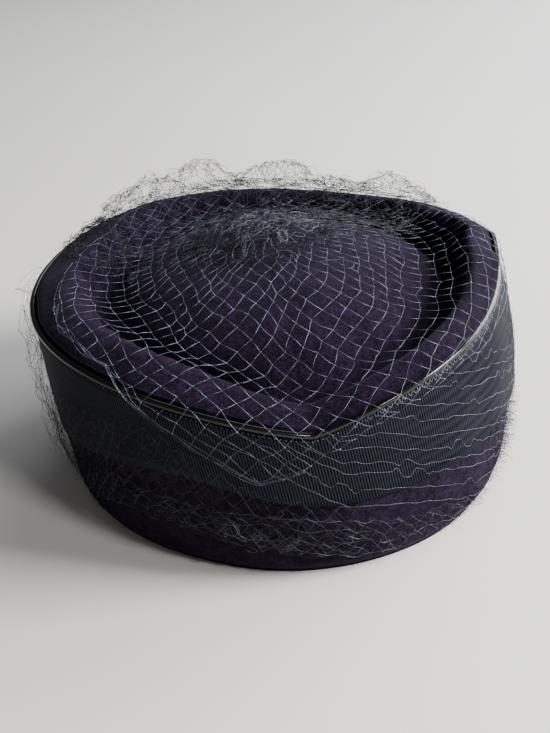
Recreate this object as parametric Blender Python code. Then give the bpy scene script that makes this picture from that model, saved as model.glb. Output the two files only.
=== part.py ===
"""Pillbox hat: a moulded felt body, a ribbon band, a glossy piping and a net veil.

The hat stands on its hem at z = 0 with its front towards -Y, and its box is
centred over the origin. A section through it is worked out for any angle round
the crown, counted from the front towards +X, from the sizes and tables below.
"""

import math
from collections import namedtuple

import bmesh
import bpy
import numpy as np

MM = 0.001

# Felt body
RIM_RADIUS = 103 * MM  # outer edge between the top and the side
CROWN_HEIGHT = 82 * MM  # hem to that edge
HEM_RADIUS = 97 * MM  # widest part of the side, just above the hem
HEM_TUCK = 3 * MM  # how far the hem turns in under it
HEM_TURN = 9 * MM  # height over which it turns in
FELT_WALL = 2.5 * MM
RING_WIDTH = 19 * MM  # rim edge to the ridge of the rolled ring
RING_RISE = 7 * MM  # ridge above the rim edge
MOAT_WIDTH = 13 * MM  # ridge to the foot of the dome
MOAT_DEPTH = 20 * MM  # ridge to the floor between ring and dome
DOME_CROWN = 11 * MM  # top of the dome above the rim edge

# Band and piping
BAND_FOOT = 36 * MM  # lower edge of the ribbon above the hem
BAND_THICKNESS = 1 * MM
PIPING_RADIUS = 1.3 * MM
CLEARANCE = 0.3 * MM  # between pieces that touch

# Veil
VEIL_THICKNESS = 0.8 * MM
VEIL_GAP = 2.2 * MM  # net to whatever it lies over
VEIL_LOOSE = 8 * MM  # how far its slack stands off
VEIL_HEM = 14 * MM  # lower edge of the net above the hem of the hat
VEIL_OPEN = 0.86  # width of an opening in the net as a share of its cell
VEIL_COLUMNS = 16
TUFT_RADIUS = 27 * MM  # gathered middle of the net
TUFT_RISE = 11 * MM  # its crest above the dome
TUFT_PLEAT = 2 * MM

# Facets round the hat
STEPS = 60

# One row for each 30 degrees. Every value is a share of the size that it
# follows: reach and waist of RIM_RADIUS, hem of HEM_RADIUS, height of
# CROWN_HEIGHT, foot of BAND_FOOT, ring of RING_WIDTH, rise of RING_RISE, moat
# of MOAT_WIDTH, depth of MOAT_DEPTH, side and top of VEIL_LOOSE.
Section = namedtuple("Section", "angle reach waist hem height foot ring rise moat depth side top")
SECTIONS = (
    Section(0, 1.010, 1.010, 1.045, 0.990, 0.98, 0.74, 0.76, 0.80, 0.55, 0.15, 0.20),
    Section(30, 0.983, 1.005, 1.065, 1.000, 0.93, 0.56, 0.73, 1.45, 0.80, 0.15, 0.20),
    Section(60, 0.940, 0.990, 1.035, 0.990, 0.89, 0.53, 0.86, 1.40, 1.00, 0.15, 0.25),
    Section(90, 0.950, 1.020, 1.015, 1.005, 0.75, 0.70, 1.00, 0.95, 1.20, 0.15, 0.30),
    Section(120, 1.008, 1.030, 1.010, 0.968, 0.90, 0.55, 0.60, 1.10, 0.95, 0.40, 0.70),
    Section(150, 0.997, 1.005, 1.000, 0.942, 1.00, 0.75, 0.80, 1.10, 0.90, 0.70, 1.20),
    Section(180, 1.005, 0.985, 1.000, 0.970, 1.00, 1.00, 1.00, 0.85, 1.00, 0.80, 1.40),
    Section(210, 1.005, 0.975, 0.990, 1.010, 1.00, 1.00, 1.00, 0.90, 1.00, 0.80, 1.10),
    Section(240, 0.997, 0.960, 0.965, 1.000, 0.95, 1.00, 1.00, 1.10, 1.00, 0.75, 0.60),
    Section(270, 0.992, 0.955, 0.950, 1.000, 0.80, 0.97, 1.00, 1.45, 1.00, 0.75, 0.40),
    Section(300, 0.997, 0.960, 0.975, 1.015, 1.09, 0.96, 1.00, 1.45, 1.00, 0.70, 0.30),
    Section(330, 1.001, 0.980, 0.990, 1.005, 1.30, 1.00, 1.00, 0.90, 0.80, 0.30, 0.25),
)

# Sharp turns of the rim edge: the dip at the front and the peak at the back of
# the right side. Angles in degrees; rise is a share of CROWN_HEIGHT and reach
# a share of RIM_RADIUS.
Fold = namedtuple("Fold", "angle half_angle rise reach")
FOLDS = (
    Fold(0, 28, -0.190, 0.000),
    Fold(96, 10, 0.005, 0.045),
)
FOLD_SHARPNESS = 1.2

# Heights of the rows of the felt side, as shares of the way from the turn of
# the hem up to the rim edge
SIDE_ROWS = (0.0, 0.25, 0.5, 0.75, 1.0)

# Lines across the ring and the moat. Inward is a share of the way in over each
# of them; upward is a share of the rise of the ring, or of the way up from the
# floor of the moat to the ridge.
Step = namedtuple("Step", "inward upward")
RING_LINE = (Step(0.06, 0.34), Step(0.30, 0.62), Step(0.68, 0.93), Step(1.0, 1.0))
MOAT_LINE = (Step(0.20, 0.85), Step(0.34, 0.40), Step(0.60, 0.0), Step(1.0, 0.12))

# Rows of the dome, from 0 at its foot to 1 at its top
DOME_ROWS = (0.25, 0.45, 0.65, 0.85)

# Rows of the ribbon, from its foot to its head
BAND_ROWS = (0.0, 0.33, 0.67, 1.0)
BAND_EASE = 0.12  # room for the flat facets of the felt, as a share of the bow of the side

# Rows of the net, two to each row of its cells. On the side, share is the way
# up to the rim edge and slack the share of the looseness there. At the rim,
# over the ring and on the ridge, out and up are those shares. The last rows run
# from the shoulder of the dome in to the tuft.
Slack = namedtuple("Slack", "share slack")
NET_SIDE = (
    Slack(0.0, 0.5),
    Slack(0.16, 0.8),
    Slack(0.33, 1.0),
    Slack(0.5, 1.0),
    Slack(0.67, 0.9),
    Slack(0.84, 0.7),
)
Drape = namedtuple("Drape", "out up")
NET_RIM = Drape(0.5, 0.4)
NET_RING = Drape(0.2, 0.8)
NET_RIDGE = Drape(0.0, 1.0)
NET_DOME_START = 0.45  # where the net comes down on the dome, as a climb of it
NET_DOME_SLACK = 0.3
NET_DOME_ROWS = 5

# Rings of the tuft: share of its radius, of its rise and of the depth of its
# pleats. Its middle is sewn down on the dome, which carries the net.
Ring = namedtuple("Ring", "radius rise pleat")
TUFT_RINGS = (Ring(0.66, 0.8, 1.0), Ring(0.33, 1.0, 0.6), Ring(0.12, 0.0, 0.0))


def between(name, angle):
    """Value of one column of SECTIONS at an angle, on a smooth closed curve through its rows."""
    values = [getattr(row, name) for row in SECTIONS]
    place = math.degrees(angle) / 360 * len(values)
    row = math.floor(place)
    t = place - row
    a, b, c, d = (values[(row + k) % len(values)] for k in (-1, 0, 1, 2))
    return b + t / 2 * (c - a + t * (2 * a - 5 * b + 4 * c - d + t * (3 * (b - c) + d - a)))


def folded(name, angle):
    """Sum of what the folds add to a column at an angle; each has a sharp crest."""
    total = 0.0
    for fold in FOLDS:
        away = abs((math.degrees(angle) - fold.angle + 180) % 360 - 180)
        total += getattr(fold, name) * math.exp(-((away / fold.half_angle) ** FOLD_SHARPNESS))
    return total


class Profile:
    """The lengths of one section through the hat, and the lines drawn from them."""

    def __init__(self, angle):
        self.rim = RIM_RADIUS * (between("reach", angle) + folded("reach", angle))
        self.edge = CROWN_HEIGHT * (between("height", angle) + folded("rise", angle))
        self.wall = self.rim - CLEARANCE - 2 * PIPING_RADIUS
        self.waist = RIM_RADIUS * between("waist", angle) - BAND_THICKNESS
        self.hem = HEM_RADIUS * between("hem", angle)
        self.bow = self.waist - (self.hem + self.wall) / 2
        self.foot = BAND_FOOT * between("foot", angle)
        self.ridge = self.rim - RING_WIDTH * between("ring", angle)
        self.ridge_top = self.edge + RING_RISE * between("rise", angle)
        self.dome = self.ridge - MOAT_WIDTH * between("moat", angle)
        self.floor = self.ridge_top - MOAT_DEPTH * between("depth", angle)
        self.dome_top = CROWN_HEIGHT + DOME_CROWN
        self.side = VEIL_LOOSE * between("side", angle)
        self.top = VEIL_LOOSE * between("top", angle)

    def side_radius(self, height):
        """Outer radius of the felt side at a height: a parabola through hem, waist and wall."""
        t = min(max(height / self.edge, 0.0), 1.0)
        return self.hem + (self.wall - self.hem) * t + 4 * self.bow * t * (1 - t)

    def dome_height(self, radius):
        """Height of the dome at a radius: a quarter of an ellipse from its foot to its top."""
        share = min(radius / self.dome, 1.0)
        return self.floor + (self.dome_top - self.floor) * math.sqrt(1 - share * share)

    def dome_point(self, climb):
        """Radius and height of the dome at a climb of 0 (foot) to 1 (top)."""
        radius = self.dome * math.cos(climb * math.pi / 2)
        return radius, self.dome_height(radius)

    def felt(self):
        """Outer line of the felt from the hem over the ring to the dome, as radius and height."""
        foot = self.side_radius(0) - HEM_TUCK
        points = [
            (foot, 0.0),
            (foot, HEM_TUCK / 3),
            (self.side_radius(HEM_TURN / 2) - HEM_TUCK / 4, HEM_TURN / 2),
        ]
        for share in SIDE_ROWS:
            height = HEM_TURN + (self.edge - HEM_TURN) * share
            points.append((self.side_radius(height), height))
        for step in RING_LINE:
            radius = self.wall + (self.ridge - self.wall) * step.inward
            points.append((radius, self.edge + (self.ridge_top - self.edge) * step.upward))
        for step in MOAT_LINE:
            radius = self.ridge + (self.dome - self.ridge) * step.inward
            points.append((radius, self.floor + (self.ridge_top - self.floor) * step.upward))
        return points + [self.dome_point(climb) for climb in DOME_ROWS]

    def ribbon(self):
        """Line of the back of the ribbon, from its foot up to just under the piping."""
        head = self.edge - PIPING_RADIUS - CLEARANCE
        points = []
        for share in BAND_ROWS:
            height = self.foot + (head - self.foot) * share
            points.append((self.side_radius(height) + CLEARANCE + BAND_EASE * abs(self.bow), height))
        return points

    def veil(self):
        """Rows of the net from its hem to its gathered middle."""
        skin = CLEARANCE + BAND_THICKNESS + VEIL_GAP
        points = []
        for row in NET_SIDE:
            height = VEIL_HEM + (self.edge - VEIL_HEM) * row.share
            points.append((self.side_radius(height) + skin + self.side * row.slack, height))
        over = (
            (self.rim + VEIL_GAP, self.edge, NET_RIM),
            ((self.rim + self.ridge) / 2, self.ridge_top, NET_RING),
            (self.ridge, self.ridge_top, NET_RIDGE),
        )
        for radius, height, drape in over:
            points.append((radius + self.side * drape.out, height + VEIL_GAP + self.top * drape.up))
        slack = self.top * NET_DOME_SLACK
        start, shoulder = self.dome_point(NET_DOME_START)
        points.append(((self.ridge + start) / 2, (self.ridge_top + shoulder) / 2 + VEIL_GAP + slack))
        for k in range(NET_DOME_ROWS):
            share = k / (NET_DOME_ROWS - 1)
            radius = start + (TUFT_RADIUS - start) * share
            points.append((radius, self.dome_height(radius) + VEIL_GAP + slack * (1 - share)))
        return points


def place(angle, radius, height):
    """Point at an angle from the front towards +X, a radius and a height."""
    return (radius * math.sin(angle), -radius * math.cos(angle), height)


def material(name, colour, roughness):
    """A plain finish; the colour is linear."""
    made = bpy.data.materials.new(name)
    made.use_nodes = True
    shader = made.node_tree.nodes["Principled BSDF"]
    shader.inputs["Base Color"].default_value = (*colour, 1.0)
    shader.inputs["Roughness"].default_value = roughness
    shader.inputs["Metallic"].default_value = 0.0
    return made


def new_object(name, builder, finish):
    """Object of the mesh in builder, shaded smooth, with its finish."""
    mesh = bpy.data.meshes.new(name)
    builder.to_mesh(mesh)
    builder.free()
    mesh.shade_smooth()
    mesh.materials.append(finish)
    made = bpy.data.objects.new(name, mesh)
    bpy.context.scene.collection.objects.link(made)
    return made


def add_wall(target, thickness, side):
    """Gives a skin its thickness: side is -1 inwards and 1 outwards."""
    wall = target.modifiers.new("wall", "SOLIDIFY")
    wall.thickness = thickness
    wall.offset = side
    wall.use_even_offset = False
    wall.use_rim = True


def skin_rings(builder, rings):
    """Joins rings of vertices, each counted the same way round, with quads facing out."""
    for low, high in zip(rings, rings[1:]):
        for k in range(len(low)):
            after = (k + 1) % len(low)
            builder.faces.new((low[k], low[after], high[after], high[k]))


def close_middle(builder, ring, height):
    """Closes the inmost ring with a fan to a point on the axis."""
    middle = builder.verts.new((0.0, 0.0, height))
    for k in range(len(ring)):
        builder.faces.new((ring[k], ring[(k + 1) % len(ring)], middle))


def turned_rings(builder, lines, angles):
    """Skins one ring of vertices for each point of the lines, which stand at the angles."""
    rings = []
    for points in zip(*lines):
        rings.append([builder.verts.new(place(angle, *point)) for angle, point in zip(angles, points)])
    skin_rings(builder, rings)
    return rings


def build_felt_body(profiles, angles):
    """The one piece of felt: side, rolled ring, moat and dome."""
    builder = bmesh.new()
    rings = turned_rings(builder, [profile.felt() for profile in profiles], angles)
    close_middle(builder, rings[-1], profiles[0].dome_top)
    felt = new_object("felt_body", builder, material("navy felt", (0.012, 0.010, 0.022), 0.92))
    add_wall(felt, FELT_WALL, -1)
    return felt


def build_ribbon_band(profiles, angles):
    """The ribbon, one closed loop round the side."""
    builder = bmesh.new()
    turned_rings(builder, [profile.ribbon() for profile in profiles], angles)
    band = new_object("ribbon_band", builder, material("dark ribbon", (0.022, 0.023, 0.028), 0.6))
    add_wall(band, BAND_THICKNESS, 1)
    return band


def build_piping(profiles, angles):
    """A round cord on top of the ribbon, against the felt edge."""
    curve = bpy.data.curves.new("piping", "CURVE")
    curve.dimensions = "3D"
    curve.bevel_depth = PIPING_RADIUS
    curve.bevel_resolution = 1
    line = curve.splines.new("POLY")
    line.points.add(len(angles) - 1)
    for point, angle, profile in zip(line.points, angles, profiles):
        radius = profile.wall + CLEARANCE + PIPING_RADIUS
        point.co = (*place(angle, radius, profile.edge), 1.0)
    line.use_cyclic_u = True
    curve.materials.append(material("piping satin", (0.020, 0.020, 0.018), 0.25))
    made = bpy.data.objects.new("piping", curve)
    bpy.context.scene.collection.objects.link(made)
    return made


class Net:
    """Vertices of the net by column and row; half columns and half rows lie between knots."""

    def __init__(self, builder):
        self.builder = builder
        self.count = 2 * VEIL_COLUMNS
        self.lines = {}
        self.verts = {}

    def angle(self, column):
        return column * math.pi / VEIL_COLUMNS

    def line(self, column):
        """Line of the net at a column, worked out once."""
        if column not in self.lines:
            self.lines[column] = Profile(self.angle(column)).veil()
        return self.lines[column]

    def last_row(self):
        return (len(self.line(0)) - 1) // 2

    def vert(self, column, row):
        """The vertex at a column and a row, made once, on the straight line between two points."""
        key = (round(column % self.count, 4), round(row, 4))
        if key not in self.verts:
            line = self.line(key[0])
            step = min(int(row * 2), len(line) - 2)
            share = row * 2 - step
            radius, height = (a + (b - a) * share for a, b in zip(line[step], line[step + 1]))
            self.verts[key] = self.builder.verts.new(place(self.angle(key[0]), radius, height))
        return self.verts[key]

    def add_cell(self, column, row):
        """The border of one slanted cell, round its opening."""
        turns = ((0, -1), (0.5, -0.5), (1, 0), (0.5, 0.5), (0, 1), (-0.5, 0.5), (-1, 0), (-0.5, -0.5))
        outer = [self.vert(column + a, row + b) for a, b in turns]
        inner = [self.vert(column + a * VEIL_OPEN, row + b * VEIL_OPEN) for a, b in turns]
        skin_rings(self.builder, [outer, inner])

    def add_half_cell(self, column, row):
        """The closed half of a cell where the net runs into its tuft."""
        low, middle = self.vert(column, row - 1), self.vert(column, row)
        left, right = self.vert(column - 0.5, row - 0.5), self.vert(column + 0.5, row - 0.5)
        self.builder.faces.new((low, right, middle, left))
        self.builder.faces.new((right, self.vert(column + 1, row), middle))
        self.builder.faces.new((left, middle, self.vert(column - 1, row)))


def build_net_veil():
    """The veil: a sheet cut through in slanted cells, gathered to a pleated tuft at the middle."""
    builder = bmesh.new()
    net = Net(builder)
    last = net.last_row()
    for column in range(net.count):
        for row in range(1, last):
            if (column + row) % 2:
                net.add_cell(column, row)
        if (column + last) % 2:
            net.add_half_cell(column, last)
    seat = CROWN_HEIGHT + DOME_CROWN + CLEARANCE
    rings = [[net.vert(column, last) for column in range(net.count)]]
    for ring in TUFT_RINGS:
        verts = []
        for column in range(net.count):
            pleat = TUFT_PLEAT * ring.pleat * (1 if column % 2 else -1)
            height = seat + TUFT_RISE * ring.rise + pleat
            verts.append(builder.verts.new(place(net.angle(column), TUFT_RADIUS * ring.radius, height)))
        rings.append(verts)
    skin_rings(builder, rings)
    close_middle(builder, rings[-1], seat)
    veil = new_object("net_veil", builder, material("net thread", (0.05, 0.05, 0.075), 0.5))
    add_wall(veil, VEIL_THICKNESS, 1)
    return veil


def centre_on_box(pieces):
    """Moves all the pieces so that the hat's box is centred over the origin."""
    bpy.context.view_layer.update()
    graph = bpy.context.evaluated_depsgraph_get()
    corners = []
    for piece in pieces:
        evaluated = piece.evaluated_get(graph)
        corners += [vertex.co.copy() for vertex in evaluated.to_mesh().vertices]
        evaluated.to_mesh_clear()
    corners = np.array(corners)
    middle = (corners.min(axis=0) + corners.max(axis=0)) / 2
    for piece in pieces:
        piece.location = (-middle[0], -middle[1], 0.0)


def main():
    for old in list(bpy.data.objects):
        bpy.data.objects.remove(old)
    angles = [2 * math.pi * k / STEPS for k in range(STEPS)]
    profiles = [Profile(angle) for angle in angles]
    pieces = [
        build_felt_body(profiles, angles),
        build_ribbon_band(profiles, angles),
        build_piping(profiles, angles),
        build_net_veil(),
    ]
    centre_on_box(pieces)


main()
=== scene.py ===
"""Looks of a felt pillbox hat: fine felt, a ribbed ribbon, a glossy piping, stitches and a veil of bare net.

Laid out as an add-on and run as a script. All lengths are in metres, in the
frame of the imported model. A section through the hat is worked out for any
angle round the crown, counted from the front (-Y) towards +X.
"""

import math

import bpy
import numpy as np
from mathutils import Matrix, Vector


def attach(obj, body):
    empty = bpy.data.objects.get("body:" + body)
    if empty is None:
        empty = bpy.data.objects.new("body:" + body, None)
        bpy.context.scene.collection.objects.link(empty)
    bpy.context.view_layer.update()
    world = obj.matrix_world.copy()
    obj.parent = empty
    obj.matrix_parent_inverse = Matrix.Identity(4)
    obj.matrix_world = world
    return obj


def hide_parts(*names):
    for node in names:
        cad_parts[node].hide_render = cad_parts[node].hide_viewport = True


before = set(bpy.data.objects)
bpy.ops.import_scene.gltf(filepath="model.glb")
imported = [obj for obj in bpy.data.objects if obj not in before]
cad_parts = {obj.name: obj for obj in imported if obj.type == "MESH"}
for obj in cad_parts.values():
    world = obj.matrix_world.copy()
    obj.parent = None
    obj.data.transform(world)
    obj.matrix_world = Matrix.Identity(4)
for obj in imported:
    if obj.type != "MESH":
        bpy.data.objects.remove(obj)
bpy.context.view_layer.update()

bl_info = {
    "name": "Pillbox hat",
    "version": (1, 0, 0),
    "blender": (4, 5, 0),
    "location": "3D View > Sidebar > Hat",
    "description": "Builds the felt, ribbon, piping, stitches and net veil of a pillbox hat",
    "category": "Object",
}

MM = 0.001
TURN = 2 * math.pi
TINY = 1e-12  # keeps a division by no length safe


def crown_axis():
    """Place of the axis of the crown: the felt's highest point stands on it."""
    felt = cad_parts["felt_body"].data
    points = np.empty(len(felt.vertices) * 3, np.float32)
    felt.vertices.foreach_get("co", points)
    points = points.reshape(-1, 3)
    return points[points[:, 2].argmax(), :2].astype(float)


AXIS = crown_axis()

# Sizes of the hat, as in its source
RIM_RADIUS = 103 * MM
CROWN_HEIGHT = 82 * MM
HEM_RADIUS = 97 * MM
HEM_TUCK = 3 * MM
HEM_TURN = 9 * MM
RING_WIDTH = 19 * MM
RING_RISE = 7 * MM
MOAT_WIDTH = 13 * MM
MOAT_DEPTH = 20 * MM
DOME_TOP = 93 * MM
BAND_FOOT = 36 * MM
BAND_THICKNESS = 1 * MM
BAND_EASE = 0.12
PIPING_RADIUS = 1.3 * MM
CLEARANCE = 0.3 * MM

# One row for each 30 degrees, as shares of those sizes
COLUMNS = ("reach", "waist", "hem", "height", "foot", "ring", "rise", "moat", "depth")
SECTIONS = np.array(
    (
        (1.010, 1.010, 1.045, 0.990, 0.98, 0.74, 0.76, 0.80, 0.55),
        (0.983, 1.005, 1.065, 1.000, 0.93, 0.56, 0.73, 1.45, 0.80),
        (0.940, 0.990, 1.035, 0.990, 0.89, 0.53, 0.86, 1.40, 1.00),
        (0.950, 1.020, 1.015, 1.005, 0.75, 0.70, 1.00, 0.95, 1.20),
        (1.008, 1.030, 1.010, 0.968, 0.90, 0.55, 0.60, 1.10, 0.95),
        (0.997, 1.005, 1.000, 0.942, 1.00, 0.75, 0.80, 1.10, 0.90),
        (1.005, 0.985, 1.000, 0.970, 1.00, 1.00, 1.00, 0.85, 1.00),
        (1.005, 0.975, 0.990, 1.010, 1.00, 1.00, 1.00, 0.90, 1.00),
        (0.997, 0.960, 0.965, 1.000, 0.95, 1.00, 1.00, 1.10, 1.00),
        (0.992, 0.955, 0.950, 1.000, 0.80, 0.97, 1.00, 1.45, 1.00),
        (0.997, 0.960, 0.975, 1.015, 1.09, 0.96, 1.00, 1.45, 1.00),
        (1.001, 0.980, 0.990, 1.005, 1.30, 1.00, 1.00, 0.90, 0.80),
    )
)
# Sharp turns of the rim edge: angle and half angle in degrees, rise and reach as shares
FOLDS = ((0, 28, -0.190, 0.000), (96, 10, 0.005, 0.045))
FOLD_SHARPNESS = 1.2

SIDE_ROWS = (0.0, 0.25, 0.5, 0.75, 1.0)
RING_LINE = ((0.06, 0.34), (0.30, 0.62), (0.68, 0.93), (1.0, 1.0))
MOAT_LINE = ((0.20, 0.85), (0.34, 0.40), (0.60, 0.0), (1.0, 0.12))
DOME_ROWS = (0.25, 0.45, 0.65, 0.85)


class FeltSettings(bpy.types.PropertyGroup):
    wall: bpy.props.FloatProperty(
        name="Wall", description="Thickness of the felt", default=2.5 * MM, unit="LENGTH"
    )
    colour: bpy.props.FloatVectorProperty(
        name="Colour", description="Colour of the felt", default=(0.0070, 0.0037, 0.0112), subtype="COLOR"
    )


class RibbonSettings(bpy.types.PropertyGroup):
    rib: bpy.props.FloatProperty(
        name="Rib", description="Distance from rib to rib", default=1.1 * MM, unit="LENGTH"
    )
    depth: bpy.props.FloatProperty(
        name="Depth", description="Depth between the ribs", default=0.36 * MM, unit="LENGTH"
    )
    colour: bpy.props.FloatVectorProperty(
        name="Colour", description="Colour of the ribbon", default=(0.0100, 0.0110, 0.0165), subtype="COLOR"
    )


class PipingSettings(bpy.types.PropertyGroup):
    radius: bpy.props.FloatProperty(
        name="Radius", description="Radius of the cord", default=PIPING_RADIUS, unit="LENGTH"
    )
    colour: bpy.props.FloatVectorProperty(
        name="Colour", description="Colour of the satin", default=(0.0024, 0.0024, 0.0020), subtype="COLOR"
    )


class NetSettings(bpy.types.PropertyGroup):
    mesh: bpy.props.FloatProperty(
        name="Mesh", description="Side of a cell of the net", default=6.6 * MM, unit="LENGTH"
    )
    thread: bpy.props.FloatProperty(
        name="Thread", description="Radius of a thread", default=0.092 * MM, unit="LENGTH"
    )
    colour: bpy.props.FloatVectorProperty(
        name="Colour", description="Colour of the threads", default=(0.078, 0.084, 0.128), subtype="COLOR"
    )


class StageSettings(bpy.types.PropertyGroup):
    floor: bpy.props.FloatVectorProperty(
        name="Floor", description="Colour of the floor", default=(0.80, 0.775, 0.74), subtype="COLOR"
    )


def cubic(a, b, c, d, t):
    """Smooth way from b to c at shares t, with slopes that follow a before them and d after them."""
    return b + t / 2 * (c - a + t * (2 * a - 5 * b + 4 * c - d + t * (3 * (b - c) + d - a)))


def between(name, angle):
    """Column of SECTIONS at an array of angles, on a smooth closed curve through its rows."""
    values = SECTIONS[:, COLUMNS.index(name)]
    share = angle / TURN * len(values)
    row = np.floor(share).astype(int)
    return cubic(*(values[(row + k) % len(values)] for k in (-1, 0, 1, 2)), share - row)


def folded(column, angle):
    """Sum of what the folds add at angles, each with a sharp crest; column 2 is the rise and 3 the reach."""
    total = np.zeros_like(angle)
    for fold in FOLDS:
        away = np.abs((np.degrees(angle) - fold[0] + 180) % 360 - 180)
        total += fold[column] * np.exp(-((away / fold[1]) ** FOLD_SHARPNESS))
    return total


class Crown:
    """The lengths of the sections through the hat at an array of angles."""

    def __init__(self, angle):
        self.angle = angle
        self.rim = RIM_RADIUS * (between("reach", angle) + folded(3, angle))
        self.edge = CROWN_HEIGHT * (between("height", angle) + folded(2, angle))
        self.wall = self.rim - CLEARANCE - 2 * PIPING_RADIUS
        self.waist = RIM_RADIUS * between("waist", angle) - BAND_THICKNESS
        self.hem = HEM_RADIUS * between("hem", angle)
        self.bow = self.waist - (self.hem + self.wall) / 2
        self.foot = BAND_FOOT * between("foot", angle)
        self.ridge = self.rim - RING_WIDTH * between("ring", angle)
        self.ridge_top = self.edge + RING_RISE * between("rise", angle)
        self.dome = self.ridge - MOAT_WIDTH * between("moat", angle)
        self.floor = self.ridge_top - MOAT_DEPTH * between("depth", angle)

    def side_radius(self, height):
        """Outer radius of the side: a parabola through hem, waist and wall."""
        t = np.clip(height / self.edge, 0.0, 1.0)
        return self.hem + (self.wall - self.hem) * t + 4 * self.bow * t * (1 - t)

    def ribbon_radius(self, height):
        """Radius of the back of the ribbon at heights."""
        return self.side_radius(height) + CLEARANCE + BAND_EASE * np.abs(self.bow)

    def net_radius(self, height):
        """Radius at which net lies on the ribbon and in front of the side under it."""
        return self.side_radius(height) + BAND_THICKNESS + CLEARANCE

    def dome_height(self, radius):
        """Height of the dome: a quarter of an ellipse from its foot to its top."""
        share = np.clip(radius / self.dome, 0.0, 1.0)
        return self.floor + (DOME_TOP - self.floor) * np.sqrt(1 - share * share)

    def felt(self):
        """Points of the felt's outer line from the hem to the pole, as (angle, point, radius and height)."""
        foot = self.side_radius(0) - HEM_TUCK
        points = [
            (foot, 0 * foot),
            (foot, 0 * foot + HEM_TUCK / 3),
            (self.side_radius(HEM_TURN / 2) - HEM_TUCK / 4, 0 * foot + HEM_TURN / 2),
        ]
        for share in SIDE_ROWS:
            height = HEM_TURN + (self.edge - HEM_TURN) * share
            points.append((self.side_radius(height), height))
        for inward, upward in RING_LINE:
            radius = self.wall + (self.ridge - self.wall) * inward
            points.append((radius, self.edge + (self.ridge_top - self.edge) * upward))
        for inward, upward in MOAT_LINE:
            radius = self.ridge + (self.dome - self.ridge) * inward
            points.append((radius, self.floor + (self.ridge_top - self.floor) * upward))
        for climb in DOME_ROWS:
            radius = self.dome * math.cos(climb * math.pi / 2)
            points.append((radius, self.dome_height(radius)))
        points.append((0 * foot, 0 * foot + DOME_TOP))
        return np.stack([np.stack(point, axis=-1) for point in points], axis=-2)


def place(angle, radius, height):
    """Points at angles from the front towards +X, radii from the axis of the crown and heights."""
    x = AXIS[0] + radius * np.sin(angle)
    y = AXIS[1] - radius * np.cos(angle)
    return np.stack(np.broadcast_arrays(x, y, height), axis=-1)


def unit(vectors):
    """Vectors of length 1 in the same directions."""
    return vectors / (np.linalg.norm(vectors, axis=-1, keepdims=True) + TINY)


def square_to(lines):
    """Unit steps square to lines[n, k, 2] of radius and height, to the left of the way along them."""
    way = unit(np.gradient(lines, axis=1))
    return np.stack([-way[..., 1], way[..., 0]], axis=-1)


def smooth_line(points, steps):
    """Curve through points[..., k, :], steps to each span: cubic pieces that pass through every point."""
    last = points.shape[-2] - 1
    places = np.arange(last * steps + 1) / steps
    row = np.minimum(places.astype(int), last - 1)
    corners = (points[..., np.clip(row + k, 0, last), :] for k in (-1, 0, 1, 2))
    return cubic(*corners, (places - row)[:, None])


WAVES = 7  # that are added up for smooth noise


def waves(points, length, seed):
    """Smooth noise, mostly from -1 to 1, at points: a sum of sine waves of about that length, seeded."""
    random = np.random.default_rng(seed)
    ways = unit(random.normal(size=(WAVES, points.shape[-1])))
    ways *= TURN / length * random.uniform(0.7, 1.4, (WAVES, 1))
    return np.sin(points @ ways.T + random.uniform(0, TURN, WAVES)).sum(-1) / math.sqrt(WAVES) / 1.4


def drift(points, length, seeds):
    """Smooth noise to both sides of a plane, with a seed for each."""
    return np.stack([waves(points, length, seed) for seed in seeds], axis=-1)


def ramp(value, low, high):
    """Share of the way from low to high, eased at both ends."""
    t = np.clip((value - low) / (high - low), 0, 1)
    return t * t * (3 - 2 * t)


# Meshes


def new_piece(name, points, faces, finish, uv=None):
    """Object of a mesh from arrays of points and of faces with as many corners each."""
    mesh = bpy.data.meshes.new(name)
    corners = faces.shape[1]
    mesh.vertices.add(len(points))
    mesh.vertices.foreach_set("co", np.ascontiguousarray(points, np.float32).ravel())
    mesh.loops.add(faces.size)
    mesh.loops.foreach_set("vertex_index", np.ascontiguousarray(faces, np.int32).ravel())
    mesh.polygons.add(len(faces))
    mesh.polygons.foreach_set("loop_start", np.arange(0, faces.size, corners, dtype=np.int32))
    mesh.update(calc_edges=True)
    if mesh.validate():
        raise RuntimeError(f"{name}: its mesh had faulty faces")
    mesh.shade_smooth()
    if uv is not None:
        layer = mesh.uv_layers.new(name="UVMap")
        layer.data.foreach_set("uv", np.ascontiguousarray(uv[faces.ravel()], np.float32).ravel())
    mesh.materials.append(finish)
    piece = bpy.data.objects.new(name, mesh)
    bpy.context.scene.collection.objects.link(piece)
    return piece


def ring_faces(rows, columns):
    """Quads between rows of points that close round; where the rows climb outside, they face outward."""
    row, column = np.meshgrid(np.arange(rows - 1), np.arange(columns), indexing="ij")
    after = (column + 1) % columns
    low, high = row * columns, (row + 1) * columns
    return np.stack([low + column, low + after, high + after, high + column], axis=-1).reshape(-1, 4)


def loop_faces(rows, columns):
    """Quads of a tube that closes both ways: the last row joins the first."""
    faces = ring_faces(rows, columns)
    column = np.arange(columns)
    after = (column + 1) % columns
    low = (rows - 1) * columns
    return np.concatenate([faces, np.stack([low + column, low + after, after, column], axis=-1)])


def cap_faces(start, columns, pole, outward):
    """Triangles from a row of points that closes round to its pole."""
    column = np.arange(columns)
    after = (column + 1) % columns
    pair = (start + column, start + after) if outward else (start + after, start + column)
    return np.stack([*pair, np.full(columns, pole)], axis=-1)


# A direction that no strand of the hat runs along for long
SIDEWAYS = np.array((0.31, 0.22, 0.92))


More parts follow.
